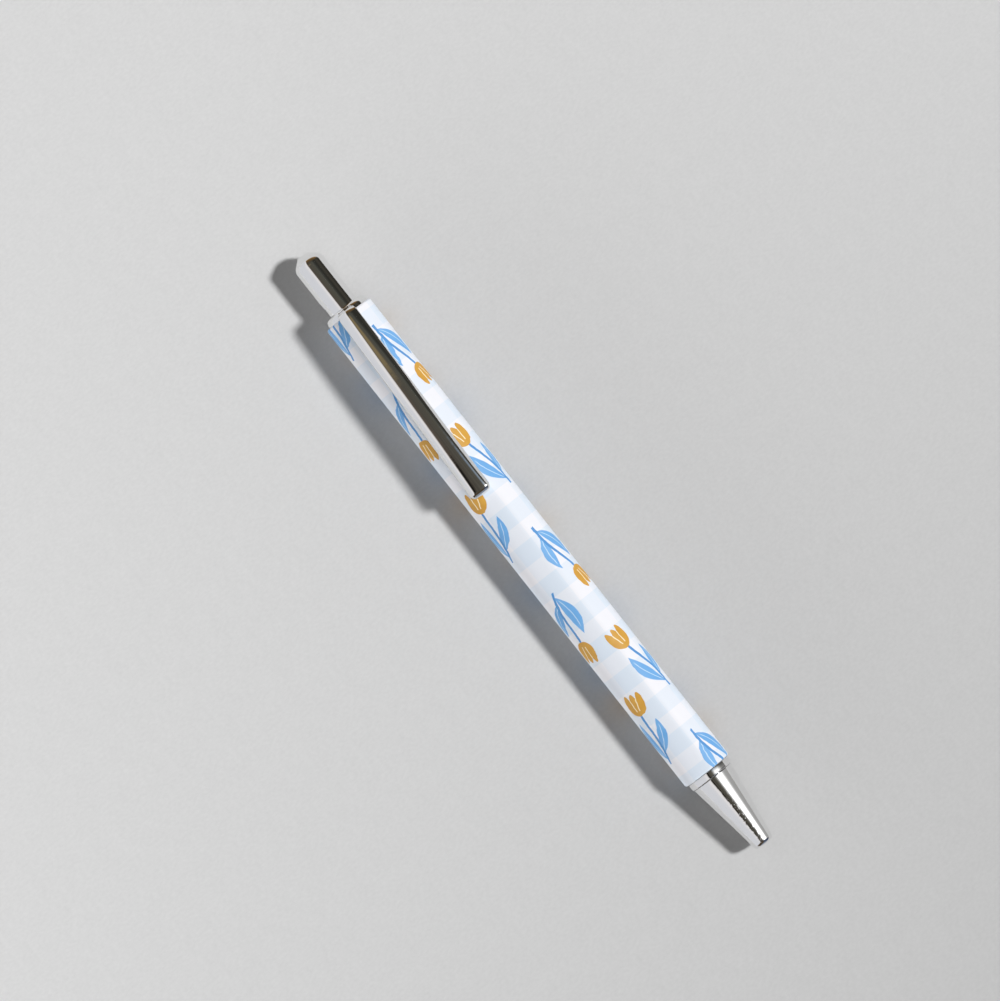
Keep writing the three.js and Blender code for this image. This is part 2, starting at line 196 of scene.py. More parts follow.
def piece_from(name, points, faces):
    """A piece with its faces pointing out, shaded smooth up to its creases."""
    shape = bmesh.new()
    vertices = [shape.verts.new(point) for point in points]
    for face in faces:
        shape.faces.new([vertices[corner] for corner in face])
    bmesh.ops.recalc_face_normals(shape, faces=shape.faces)
    mesh = bpy.data.meshes.new(name)
    shape.to_mesh(mesh)
    shape.free()
    mesh.shade_smooth()
    mesh.set_sharp_from_angle(angle=math.radians(crease_angle))
    piece = bpy.data.objects.new(name, mesh)
    bpy.context.scene.collection.objects.link(piece)
    return piece


desk_reach = 6.0
desk_corners = [(-1, -1), (1, -1), (1, 1), (-1, 1)]
desk_points = [(x * desk_reach, y * desk_reach, 0) for x, y in desk_corners]
desk = piece_from("desk", desk_points, [(0, 1, 2, 3)])
desk_paper, place = finish("desk_paper", {"Roughness": 0.85, "Specular IOR Level": 0.2})
fibres = noise(stretched(place, 1.0, 0.6, 1.0), 1.8, 3.0)
clouds = noise(place, 0.3, 3.0)

# painted shade: the paper's colour darkens to the right and downwards in the picture, where the
# lamp's light falls off; the picture's right is this way
right_x = 0.62
right_y = 0.79
fade_width = 190
pale_paper = srgb(221, 221, 221)
falloff_shaded_paper = srgb(198, 198, 198)
desk_x = coordinate(place, 0)
desk_y = coordinate(place, 1)
rightward = mask(desk_x * right_x + desk_y * right_y + 6, fade_width)
downward = mask(desk_x * right_y - desk_y * right_x + 9, fade_width)
paper = painted(pale_paper, falloff_shaded_paper, rightward * (downward * 0.7 + 0.3))

# painted shade: the paper's colour is darkened close beside the pen, where less of the room's light
# reaches it; the tone below holds this shade as well as the grain
shade_reach = 100 * MM
shade_share = 0.3
open_sky = paper.node("AmbientOcclusion", {"samples": 16}, {"Distance": shade_reach}, output=1)
grain = (fibres - 0.5) * 0.13 + (clouds - 0.5) * 0.05 + 1
tone = grain * (open_sky * shade_share + (1 - shade_share))
grained_and_shaded_paper = paper.node("VectorMath", {"operation": "SCALE"}, {0: paper, "Scale": tone})
feed(desk_paper, "Base Color", grained_and_shaded_paper)
feed(desk_paper, "Normal", bumped(fibres, 0.01))
desk.data.materials.append(desk_paper)


# The light: one soft lamp high on the clip's far side. The room that lights the pen is pale on the
# near side, with more light low along its horizon, and dark over the far side. Bright metal sees a
# painted reflection instead: a room with walls and a bright screen, shown to glossy and transmission
# rays alone, which lights nothing.
lamp_strength = 2.97
lamp_spread = 7
lamp_way = Vector((0.25, 0.58, 0.789))
lamp_data = bpy.data.lights.new("lamp", "SUN")
lamp_data.energy = lamp_strength
lamp_data.angle = math.radians(lamp_spread)
lamp = bpy.data.objects.new("lamp", lamp_data)
lamp.rotation_euler = lamp_way.to_track_quat("Z", "Y").to_euler()
bpy.context.scene.collection.objects.link(lamp)

room = bpy.data.worlds.new("room")
room.use_nodes = True
bpy.context.scene.world = room
way = Field(room.node_tree.nodes.new("ShaderNodeTexCoord").outputs["Generated"])

# degrees from overhead towards the far side, and towards the writing end
over = coordinate(way, 1).math("ARCTAN2", coordinate(way, 2)) * math.degrees(1)
ahead = coordinate(way, 0).math("ARCSINE") * math.degrees(1)


def ramp(field, tones):
    """A colour that follows a field through pairs of a value and a tone."""
    low = tones[0][0]
    reach = tones[-1][0] - low
    stops = [((value - low) / reach, (*tone, 1)) for value, tone in tones]
    return field.node("ValToRGB", {"stops": stops}, {"Fac": (field - low) / reach})


def grey(level):
    """A grey tone."""
    return (level, level, level)


# the ceiling, pale on the near side and dark with faint streaks over the far side
side = over + ahead.math("MAXIMUM", 0.0) * 0.32
ceiling = ramp(side, [
    (-45, (0.70, 0.71, 0.745)), (-30, (0.73, 0.73, 0.76)), (-20, (0.84, 0.82, 0.82)),
    (-13.5, (0.80, 0.78, 0.77)), (-9.5, (0.12, 0.095, 0.075)), (0, (0.086, 0.078, 0.064)),
    (7, (0.095, 0.088, 0.072)), (14, (0.10, 0.093, 0.073)), (28, (0.08, 0.08, 0.067)),
    (35, (0.052, 0.052, 0.043)), (43, (0.032, 0.032, 0.027)), (50, (0.034, 0.032, 0.026)),
    (57, (0.051, 0.048, 0.038)), (66, (0.06, 0.054, 0.045)), (82, (0.036, 0.034, 0.028)),
    (90, (0.09, 0.085, 0.07)),
])
streaks = noise(stretched(way, 1.5, 14, 14), 1.0, 3.0)
mirrored = painted(ceiling, (0, 0, 0, 1), (0.62 - streaks) * mask(over + 9, 4))

# brown wood over the pen's rear, black and a blue haze over its front
brown = mask(9 - abs(side - 1), 8) * mask(-3.3 - ahead, 1.2) * mask(ahead + 9, 3)
mirrored = painted(mirrored, (0.22, 0.17, 0.09, 1), brown)
black = mask(3 - abs(side + 6.5), 4) * mask(ahead - 0.8, 0.8)
mirrored = painted(mirrored, (0.008, 0.008, 0.007, 1), black)
blue_haze = mask(10 - abs(over - 26), 9) * mask(ahead - 0.8, 1.2) * mask(6 - ahead, 3)
mirrored = painted(mirrored, (0.15, 0.20, 0.26, 1), blue_haze)

# the rear wall of wood, and the front wall, brown to blue, with a paler foot
height = coordinate(way, 2).math("ARCSINE") * math.degrees(1)
rear_wall = ramp(height, [
    (0, (0.55, 0.38, 0.22)), (5, (0.22, 0.13, 0.05)), (30, (0.10, 0.065, 0.03)),
    (50, (0.075, 0.06, 0.045)),
])
mirrored = painted(mirrored, rear_wall, mask(-30 - ahead, 16) * mask(over + 11, 3))
front_wall = painted((0.075, 0.052, 0.032, 1), (0.065, 0.08, 0.125, 1), mask(over - 8, 8))
mirrored = painted(mirrored, front_wall, mask(ahead - 30, 6))
mirrored = painted(mirrored, (0.24, 0.28, 0.34, 1), mask(ahead - 60, 10))

# painted reflection of the lamp's screen: a bright patch over the far side, a little towards the
# writing end, seen only in metal
glow_over = ramp(over, [
    (5, grey(0)), (12, grey(0.04)), (18, grey(0.35)), (25, grey(1)), (44, grey(1)), (52, grey(0.6)),
    (58, grey(0.33)), (64, grey(0.19)), (92, grey(0.15)),
])
glow_ahead = ramp(ahead, [
    (-0.5, grey(0)), (0.5, grey(0.01)), (2, grey(0.05)), (3.2, grey(0.1)), (5, grey(0.28)),
    (8, grey(0.65)), (10, grey(1)), (25, grey(1)), (33, grey(0)),
])
mirrored = painted(mirrored, (2, 2, 2, 1), glow_over * glow_ahead)

# the light that the room itself gives, most of it low on the near side
low_near = mask(-75 - over, 8) * 3.6
low_far = mask(over - 65, 10) * 0.2
lit = mask(-12 - over, 6) * 0.14 + low_near + low_far + 0.085
rays = room.node_tree.nodes.new("ShaderNodeLightPath")
seen_in_metal = Field(rays.outputs["Is Glossy Ray"]) + Field(rays.outputs["Is Transmission Ray"])
room_light = painted(lit, mirrored, seen_in_metal)
backdrop = (0.74, 0.74, 0.78, 1)
room_light = painted(room_light, backdrop, Field(rays.outputs["Is Camera Ray"]))
room.node_tree.links.new(room_light.socket, room.node_tree.nodes["Background"].inputs["Color"])


# The barrel: a drawn aluminium tube with eased ends, which everything else is pressed or screwed
# into.
support_reach = 1.08


def eased(corners, closed=True, steps=6):
    """A profile of (x, radius, ease) corners, each an arc from that far before it to as far after.

    A point just outside each end of the arc keeps the shading of the straight parts straight.
    """
    profile = []
    for index, (x, radius, ease) in enumerate(corners):
        corner = Vector((x, radius))
        if ease == 0 or (not closed and index in (0, len(corners) - 1)):
            profile.append((x, radius))
            continue
        before = (Vector(corners[index - 1][:2]) - corner).normalized()
        after = (Vector(corners[(index + 1) % len(corners)][:2]) - corner).normalized()
        half = before.angle(after) / 2
        centre = corner + (before + after).normalized() * ease / math.cos(half)
        start = corner + before * ease - centre
        end = corner + after * ease - centre
        sweep = start.angle(end)
        profile.append(tuple(corner + before * ease * support_reach))
        for step in range(steps + 1):
            share = step / steps
            point = start * math.sin((1 - share) * sweep) + end * math.sin(share * sweep)
            profile.append(tuple(centre + point / math.sin(sweep)))
        profile.append(tuple(corner + after * ease * support_reach))
    return profile


def turned(name, profile, sides=96):
    """A piece turned about the pen's axis from (x, radius) points, closed on itself or the axis."""
    points = []
    rings = []
    for x, radius in profile:
        count = sides if radius > 0 else 1
        rings.append([len(points) + side % count for side in range(sides)])
        for side in range(count):
            angle = side / sides * math.tau
            points.append((x, radius * math.cos(angle), axis_height + radius * math.sin(angle)))
    spans = list(zip(rings, rings[1:]))
    if profile[0][1] > 0:
        spans.append((rings[-1], rings[0]))
    faces = []
    for here, there in spans:
        for side in range(sides):
            turn = (side + 1) % sides
            corners = [here[side], here[turn], there[turn], there[side]]
            faces.append(list(dict.fromkeys(corners)))
    return piece_from(name, points, faces)


def round_box(node):
    """The back, the front and the radius of a turned node."""
    low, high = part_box(node)
    return low.x, high.x, (high.z - low.z) / 2


def fit(piece, body, node, material):
    """Puts a finished piece in the place of its node."""
    piece.data.materials.append(material)
    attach(piece, body)
    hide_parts(node)


def darker(colour):
    """The same colour a tenth darker."""
    return tuple(0.9 * level for level in colour[:3]) + (1,)


def machined(name, colour, roughness, marks=0.0015):
    """Bare metal with the fine rings that a lathe leaves, and a cloudy polish."""
    material, place = finish(name, {"Metallic": 1.0, "Base Color": colour})
    rings = noise(stretched(place, 14, 0.3, 0.3), 1.0, 3.0)
    clouds = noise(place, 0.8)
    feed(material, "Base Color", painted(darker(colour), colour, clouds))
    feed(material, "Roughness", (rings - 0.5) * 0.25 + roughness)
    feed(material, "Normal", bumped(rings, marks))
    return material


barrel_back, barrel_front, barrel_radius = round_box("barrel_tube")
barrel_wall = 0.7 * MM
barrel_bore = barrel_radius - barrel_wall
barrel_ease = 0.37 * MM
bore_ease = 0.15 * MM
barrel = turned("barrel", eased([
    (barrel_back, barrel_bore, bore_ease),
    (barrel_back, barrel_radius, barrel_ease),
    (barrel_front, barrel_radius, barrel_ease),
    (barrel_front, barrel_bore, bore_ease),
]))
drawn_aluminium = machined("drawn_aluminium", srgb(222, 223, 226), 0.35)
fit(barrel, "barrel", "barrel_tube", drawn_aluminium)


# The printed film: a thin sleeve shrunk over the barrel and its eased ends. It carries a pale blue
# gingham with tulip sprigs, and its lengthwise seam lies underneath.
def bow(x, radius, reach_x, reach_radius, start, end, steps=8):
    """Points of an elliptical arc in a profile, from one angle to another in degrees."""
    points = []
    for step in range(steps + 1):
        angle = math.radians(start + (end - start) * step / steps)
        points.append((x + reach_x * math.cos(angle), radius + reach_radius * math.sin(angle)))
    return points


film_back, film_front, film_radius = round_box("print_sleeve")
film_thickness = 0.1 * MM
film_round = 0.5 * MM
film_wrap = 30
film_support = 0.1 * MM
film_inner = film_round - film_thickness
film_middle = film_radius - film_round
back_middle = film_back + film_round * math.cos(math.radians(film_wrap))
front_middle = film_front - film_round * math.cos(math.radians(film_wrap))
straight_back = back_middle + film_support
straight_front = front_middle - film_support
film = turned("film", [
    *bow(back_middle, film_middle, film_inner, film_inner, 90, 180 - film_wrap),
    *bow(back_middle, film_middle, film_round, film_round, 180 - film_wrap, 90),
    (straight_back, film_radius),
    (straight_front, film_radius),
    *bow(front_middle, film_middle, film_round, film_round, 90, film_wrap),
    *bow(front_middle, film_middle, film_inner, film_inner, film_wrap, 90),
    (straight_front, film_middle + film_inner),
    (straight_back, film_middle + film_inner),
], sides=128)

# places on the film in millimetres, along it and round it from the top
printed_film, place = finish("printed_film", {"Specular IOR Level": 0.35})
film_girth = math.tau * film_radius / MM
print_edge = 0.09
along = coordinate(place, 0) - film_back / MM
up = coordinate(place, 2) - axis_height / MM
around = coordinate(place, 1).math("ARCTAN2", up) * (film_radius / MM)

# gingham: bands round the pen and along it
check_length = 7.49
check_share = 0.54
check_start = 0.27
checks_round = 4
checks_turned = 12
round_ink = 0.6
length_ink = 0.4
check_round = film_girth / checks_round
check_turn = check_round * (0.5 + checks_turned / 90)
film_white = srgb(239, 239, 244)
check_blue = srgb(220, 230, 242)


def bands(position, period):
    """Stripes that fill a share of each period."""
    away = abs((position / period) % 1 - 0.5)
    return mask(check_share / 2 - away, 0.02)


rounds = bands(along + check_start, check_length)
lengths = bands(around + check_turn, check_round)
inked = painted(film_white, check_blue, rounds * round_ink + lengths * length_ink)

# tulip sprigs: four columns round the pen, each half a repeat on from its neighbour, every
# other sprig turned end for end
sprig_pitch = 24.0
sprig_tilt = math.radians(12)
sprig_columns = 4
column_width = film_girth / sprig_columns
column = (around / column_width).math("FLOOR")
odd_column = column % 2
shifted = along + odd_column * (sprig_pitch / 2)
row = (shifted / sprig_pitch).math("FLOOR")
facing = 1 - 2 * ((row + column.math("MULTIPLY", 0.5).math("FLOOR")) % 2)
lean = 1 - 2 * odd_column
wobble = (noise(place, 0.9, 1.0) - 0.5) * 0.5
u = (shifted - (row + 0.5) * sprig_pitch) * facing
v = (around - (column + 0.5) * column_width) * facing
stem_way = u * math.cos(sprig_tilt) + v * lean * math.sin(sprig_tilt) + wobble
side_way = v * math.cos(sprig_tilt) - u * lean * math.sin(sprig_tilt) + wobble * 0.6


def smallest(*fields):
    """The smallest of several fields."""
    least = fields[0]
    for field in fields[1:]:
        least = least.math("MINIMUM", field)
    return least


def leaf(start, angle, length, half_width, curl):
    """How deep a point lies in a pointed leaf that grows from the stem, and in its middle rib."""
    turn = math.radians(angle)
    out = ((stem_way - start) * math.cos(turn) + side_way * math.sin(turn)) / length
    bulge = out * (1 - out) * 4
    off = abs(side_way * math.cos(turn) - (stem_way - start) * math.sin(turn) - bulge * curl)
    blade = bulge * half_width - off
    return blade, smallest(0.09 - off, out - 0.12, 0.82 - out)


upper_blade, upper_rib = leaf(start=-6.6, angle=15, length=8.6, half_width=1.15, curl=0.75)
lower_blade, lower_rib = leaf(start=-5.4, angle=-17, length=7.4, half_width=1.0, curl=-0.7)
leaf_shade = painted(srgb(98, 163, 224), srgb(124, 181, 233), noise(place, 0.35, 1.0))
inked = painted(inked, leaf_shade, mask(upper_blade.math("MAXIMUM", lower_blade), print_edge))
inked = painted(inked, srgb(190, 218, 242), mask(upper_rib.math("MAXIMUM", lower_rib), print_edge))

# the stem: a thin line that swings slightly to both sides
stem_swing = 0.42
stem_sway = 0.4
stem_half_width = 0.27
stem_foot = 7.7
stem_head = 3.4
stem_bend = (stem_way * stem_swing).math("SINE") * stem_sway
stem_side = stem_half_width - abs(side_way - stem_bend)
stem = smallest(stem_side, stem_way + stem_foot, stem_head - stem_way)
inked = painted(inked, srgb(84, 150, 212), mask(stem, print_edge))

# the flower: a round bowl with three petal tips and two pale veins
flower_base = 3.1
flower_reach = 2.05
petal_foot = 3.4
petal_tip = 1.15
flower_way = stem_way - flower_base
flower_side = side_way - math.sin(flower_base * stem_swing) * stem_sway
below = (flower_way / flower_reach - 1).math("MINIMUM", 0.0)
bowl = (1 - below * below).math("MAXIMUM", 0.0).math("SQRT") * flower_reach
scallops = abs((flower_side * (1.5 * math.pi / flower_reach)).math("COSINE"))
petals = scallops * petal_tip + petal_foot
flower = smallest(bowl - abs(flower_side) - 0.05, petals - flower_way)
flower_shade = painted(srgb(205, 148, 52), srgb(218, 168, 72), noise(place, 0.5, 1.0))
inked = painted(inked, flower_shade, mask(flower, print_edge))
vein_half_width = 0.1
vein = abs(abs(flower_side) - flower_way * 0.13 - 0.22)
veins = smallest(vein_half_width - vein, flower_way - 1.0, 3.5 - flower_way)
inked = painted(inked, srgb(248, 236, 200), mask(veins, print_edge))

# a satin surface, and the step of the lengthwise seam
feed(printed_film, "Base Color", inked)
satin = noise(stretched(place, 0.6, 2.0, 2.0), 3.0, 3.0)
feed(printed_film, "Roughness", (satin - 0.5) * 0.08 + 0.5)
seam_width = 1.2
seam = mask(film_girth / 2 - seam_width - around, 0.15)
feed(printed_film, "Normal", bumped(satin * 0.1 + seam, 0.02))
fit(film, "barrel", "print_sleeve", printed_film)


# The thread bush: turned brass, pressed into the barrel's front end, with the inner thread that the
# cone screws into.
thread_pitch = 0.75 * MM
thread_depth = 0.3 * MM
thread_steps = 8


def threaded_run(back, front, radius):
    """Profile points close enough together to hold a thread."""
    count = round((front - back) / thread_pitch * thread_steps)
    return [(back + (front - back) * step / count, radius) for step in range(count + 1)]


def cut_thread(piece, back, front, radius):
    """Cuts the thread's grooves into the skin at that radius between two stations."""
    margin = 0.01 * MM
    for vertex in piece.data.vertices:
        x, y, z = vertex.co
        reach = math.hypot(y, z - axis_height)
        if back - margin < x < front + margin and abs(reach - radius) < margin:
            turn = (x / thread_pitch - math.atan2(z - axis_height, y) / math.tau) % 1
            share = 1 - thread_depth * abs(2 * turn - 1) / radius
            vertex.co = (x, y * share, axis_height + (z - axis_height) * share)


bush_back, bush_front, bush_radius = round_box("thread_bush")
bush_bore = 3.38 * MM
bush = turned("bush", [
    *threaded_run(bush_back, bush_front, bush_bore),
    *eased([(bush_front, bush_radius, 0), (bush_back, bush_radius, 0)], closed=False),
], sides=64)
cut_thread(bush, bush_back, bush_front, bush_bore)
turned_brass = machined("turned_brass", srgb(214, 188, 122), 0.3)
fit(bush, "barrel", "thread_bush", turned_brass)


# The cam sleeve: moulded plastic, pressed into the barrel's rear, with the grooves and slopes that
# index the click. Its moulded form is the frame's own.
def moulded(name, colour, roughness):
    """Moulded plastic with faint flow clouds and the fine grain of its mould."""
    material, place = finish(name, {"Base Color": colour, "Specular IOR Level": 0.45})
    clouds = noise(place, 0.45)
    grain = noise(place, 9.0, 3.0)
    feed(material, "Base Color", painted(darker(colour), colour, clouds))
    feed(material, "Roughness", (grain - 0.5) * 0.2 + roughness)
    feed(material, "Normal", bumped(grain, 0.003))
    return material


def refinish(node, material):
    """Gives a node of the frame a new material."""
    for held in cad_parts[node].material_slots:
        held.material = material


white_plastic = moulded("white_plastic", srgb(226, 226, 221), 0.45)
refinish("cam_sleeve", white_plastic)


# The top collar: a chromed bush on the barrel's rear end. It guides the button, and a notch in its
# flange holds the clip's foot.
def chromed(name, wear, dents=None):
    """Polished chrome plate with a faint ripple, hairlines along the pen and a cloudy wear."""
    material, place = finish(name, {"Metallic": 1.0})
    ripple = noise(place, 1.1, 1.0)
    hairlines = noise(stretched(place, 0.25, 5.0, 5.0), 4.0, 2.0)
    clouds = noise(place, 0.6, 3.0)
    dull_chrome = (0.84, 0.84, 0.84, 1)
    bright_chrome = (0.88, 0.88, 0.88, 1)
    feed(material, "Base Color", painted(dull_chrome, bright_chrome, clouds))
    feed(material, "Roughness", clouds * wear + (hairlines - 0.5) * 0.04 + 0.035)
    relief = ripple * 0.002 + hairlines * 0.0002
    if dents:
        relief = relief + dents(place)
    feed(material, "Normal", bumped(relief, 1))
    return material


collar_back, spigot_front, collar_radius = round_box("top_collar")
spigot_clearance = 0.035 * MM
spigot_radius = barrel_bore - spigot_clearance
button_back, button_front, button_radius = round_box("push_button")
button_clearance = 0.11 * MM
collar_bore = button_radius + button_clearance
collar = turned("collar", eased([
    (collar_back, collar_bore, 0.12 * MM),
    (collar_back, collar_radius, 1.1 * MM),
    (barrel_back, collar_radius, 0.06 * MM),
    (barrel_back, spigot_radius, 0),
    (spigot_front, spigot_radius, 0.2 * MM),
    (spigot_front, collar_bore, 0.1 * MM),
], steps=10))

# the clip's leg and foot, which the notch clears on each side
leg_back = collar_back + 0.55 * MM
leg_side = 1.2 * MM
clip_thickness = 0.45 * MM
foot_length = 1.8 * MM
foot_clearance = 0.1 * MM
foot_reach = barrel_bore - 0.12 * MM
foot_top = math.sqrt(foot_reach ** 2 - leg_side ** 2)
foot_bottom = foot_top - clip_thickness

# the notch: a block cut out of the flange and the spigot's top, open upwards
notch_back = leg_back - foot_clearance
notch_front = leg_back + foot_length + foot_clearance
notch_side = leg_side + foot_clearance
notch_floor = axis_height + foot_bottom - foot_clearance
notch_top = axis_height + 6 * MM
notch_points = [
    (x, y, z)
    for x in (notch_back, notch_front)
    for y in (-notch_side, notch_side)
    for z in (notch_floor, notch_top)
]
notch_faces = [(0, 1, 3, 2), (4, 6, 7, 5), (0, 4, 5, 1), (2, 3, 7, 6), (0, 2, 6, 4), (1, 5, 7, 3)]
notch = piece_from("notch", notch_points, notch_faces)
cut = collar.modifiers.new("notch", "BOOLEAN")
cut.object = notch
cut.operation = "DIFFERENCE"
cut.solver = "EXACT"
bpy.context.view_layer.update()
notched_collar = collar.evaluated_get(bpy.context.evaluated_depsgraph_get())
cut_mesh = bpy.data.meshes.new_from_object(notched_collar)
collar.modifiers.clear()
collar.data = cut_mesh
bpy.data.objects.remove(notch)
chrome_plate = chromed("chrome_plate", 0.03)
fit(collar, "barrel", "top_collar", chrome_plate)


# The clip: one chromed steel stamping. Its foot sits in the collar's notch, the strip is arched
# across, and its lip is turned down to the film. It leans a little to one side.
def clip_bend(centre_x, centre_z, radius, start, end, steps=10):
    """Places along a bend in the strip's outer line, each with the way that the line heads."""
    places = []
    for step in range(steps + 1):
        heading = start + (end - start) * step / steps
        x = centre_x - radius * math.sin(heading)
        places.append((x, centre_z + radius * math.cos(heading), heading))
    return places


def clip_section(x, z, heading, width, arch, bend, power):
    """One section round the strip: its arched outside, an edge, its inside and the other edge.

    The outside falls by the arch from its crown to its edges. Near the crown it follows the bend,
    and the rest of the fall comes close to the edges, the closer the higher the power.
    """
    half = width / 2
    inner = half - clip_ease
    curl = arch - bend * inner * inner / 2
    outside = []
    for step in range(-arch_steps, arch_steps + 1):
        share = step / arch_steps
        outside.append((share * inner, bend * (share * inner) ** 2 / 2 + curl * abs(share) ** power))
    bottom = arch + clip_thickness
    edge = [
        (half - clip_ease / 3, arch + edge_fall * 0.7),
        (half, arch + edge_fall),
        (half, bottom - clip_ease / 2),
        (half - clip_ease / 2, bottom),
    ]
    inside = [(-across, drop + clip_thickness) for across, drop in outside]
    other_edge = [(-across, drop) for across, drop in reversed(edge)]
    section = []
    for across, drop in outside + edge + inside + other_edge:
        section.append((x + math.sin(heading) * drop, across, z - math.cos(heading) * drop))
    return section


def skinned(name, sections):
    """A skin through sections that have the same number of points, with its two ends closed."""
    count = len(sections[0])
    faces = [tuple(range(count)), tuple(range((len(sections) - 1) * count, len(sections) * count))]
    for section in range(len(sections) - 1):
        for corner in range(count):
            start = section * count + corner
            turn = section * count + (corner + 1) % count
            faces.append((start, turn, turn + count, start + count))
    return piece_from(name, [point for section in sections for point in section], faces)


# heights are taken from the pen's axis until the strip is placed
strip_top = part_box("clip")[1].z - axis_height
root_crown = strip_top - 0.5 * MM
end_crown = strip_top - 0.2 * MM
clip_length = 43.2 * MM
clip_ease = 0.12 * MM
edge_fall = 0.3 * MM
arch_steps = 16
root_bend = 1.5 * MM
lip_bend = 1.3 * MM
foot_bend = 0.55 * MM
leg_width = 2 * leg_side
root_width = 4.06 * MM
end_width = 4.5 * MM
root_arch = 0.62 * MM
full_arch = 1.18 * MM
lip_arch = 0.84 * MM
root_curve = 0.48 / MM
middle_curve = 0.25 / MM
end_curve = 0.06 / MM
root_power = 4
end_power = 8
strip_bow = 0.33 * MM
run_steps = 40
lip_foot = 5.25 * MM
lip_x = leg_back + clip_length
run_length = clip_length - root_bend - lip_bend
root_slope = math.atan2(end_crown - root_crown + 4 * strip_bow, run_length)
end_slope = math.atan2(end_crown - root_crown - 4 * strip_bow, run_length)
upright = math.pi / 2

# the outer line: the foot and the leg, the shoulder, the lip and its straight hem
foot = [(leg_back + foot_length, foot_bottom, math.pi)]
foot += clip_bend(leg_back + foot_bend, foot_bottom + foot_bend, foot_bend, math.pi, upright)
foot += [(leg_back, collar_radius + 0.1 * MM, upright)]
shoulder_x = leg_back + root_bend
shoulder = clip_bend(shoulder_x, root_crown - root_bend, root_bend, upright, root_slope, steps=14)
lip = clip_bend(lip_x - lip_bend, end_crown - lip_bend, lip_bend, end_slope, -upright, steps=20)
hem = [(lip[-1][0], lip_foot, -upright)]
sections = [(x, z, heading, leg_width, 0, 0, root_power) for x, z, heading in foot]

# over the shoulder the strip widens and its arch opens
for step, (x, z, heading) in enumerate(shoulder):
    share = step / (len(shoulder) - 1)
    width = root_width * (0.92 + 0.08 * share)
    opened = 0.6 + 0.4 * share
    sections.append((x, z, heading, width, root_arch * opened, root_curve * opened, root_power))

# the run from the shoulder to the lip, bowed lengthwise: its arch deepens over the middle half and
# flattens again over the last part
arch_from = 0.3
arch_over = 0.5
flat_from = 0.82
flat_over = 0.18
run_x, run_z, _ = shoulder[-1]
run_end_x, run_end_z, _ = lip[0]
for step in range(1, run_steps):
    share = step / run_steps
    x = run_x + (run_end_x - run_x) * share
    z = run_z + (run_end_z - run_z) * share + 4 * strip_bow * share * (1 - share)
    grown = min(max((share - arch_from) / arch_over, 0), 1)
    arch = root_arch + (full_arch - root_arch) * grown * grown * (3 - 2 * grown)
    arch -= (full_arch - lip_arch) * max((share - flat_from) / flat_over, 0) ** 2
    curve = end_curve + (middle_curve - end_curve) * (1 - share)
    curve += (root_curve - middle_curve) * (1 - share) ** 8
    slope = root_slope + (end_slope - root_slope) * share
    width = root_width + (end_width - root_width) * share
    power = root_power + (end_power - root_power) * share
    sections.append((x, z, slope, width, arch, curve, power))
sections += [(x, z, heading, end_width, lip_arch, end_curve, end_power) for x, z, heading in lip + hem]
clip_strip = skinned("clip_strip", [clip_section(*section) for section in sections])

# the lean, about the back of the leg
clip_lean = math.radians(1.36)
for vertex in clip_strip.data.vertices:
    x = vertex.co.x - leg_back
    y = vertex.co.y
    vertex.co.x = leg_back + x * math.cos(clip_lean) + y * math.sin(clip_lean)
    vertex.co.y = y * math.cos(clip_lean) - x * math.sin(clip_lean)
    vertex.co.z += axis_height
fit(clip_strip, "clip", "clip", chromed("clip_chrome", 0.02))


# The push button: a deep-drawn chromed cap with a bullnose end. It is pressed on the plunger's
# stem and slides in the collar.
button_bore = button_radius - 0.75 * MM
button_floor = button_back + 1.6 * MM
nose_flat = 1.1 * MM
nose_length = 1.6 * MM
rim_ease = 0.08 * MM
button = turned("button", eased([
    (button_back, 0, 0),
    (button_back, nose_flat, 0.25 * MM),
    (button_back + nose_length, button_radius, 0.75 * MM),
    (button_front, button_radius, rim_ease),
    (button_front, button_bore, rim_ease),
    (button_floor, button_bore, 0.2 * MM),
    (button_floor, 0, 0),
], closed=False, steps=14))
fit(button, "button", "push_button", chrome_plate)


# The plunger and the rotor: the two halves of the click, moulded with mating teeth. Their moulded
# forms are the frame's own.
refinish("plunger", white_plastic)
refinish("cam_rotor", moulded("rotor_plastic", srgb(176, 196, 214), 0.42))


# The refill: a drawn plastic tube with a raised stop ring, with its ink and the grease behind it,
# and the moulded plug that joins the tube and the writing tip.
refill_sides = 48
tube_back, tube_front, stop_radius = round_box("refill_tube")
tube_radius = 1.49 * MM
tube_bore = 1.15 * MM
tube_ease = 0.1 * MM
tube_bore_ease = 0.05 * MM
stop_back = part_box("return_spring")[0].x - 0.81 * MM
stop_front = stop_back + 0.7 * MM
refill_tube = turned("refill_barrel", eased([
    (tube_back, tube_bore, tube_bore_ease),
    (tube_back, tube_radius, tube_ease),
    (stop_back, tube_radius, tube_ease),
    (stop_back, stop_radius, tube_ease),
    (stop_front, stop_radius, tube_ease),
    (stop_front, tube_radius, tube_ease),
    (tube_front, tube_radius, tube_ease),
    (tube_front, tube_bore, tube_bore_ease),
]), sides=refill_sides)
refill_plastic = moulded("refill_plastic", srgb(216, 223, 226), 0.3)
fit(refill_tube, "refill", "refill_tube", refill_plastic)
refinish("ink_column", moulded("ink_paste", srgb(24, 40, 92), 0.3))
refinish("grease_plug", moulded("grease", srgb(218, 212, 178), 0.25))

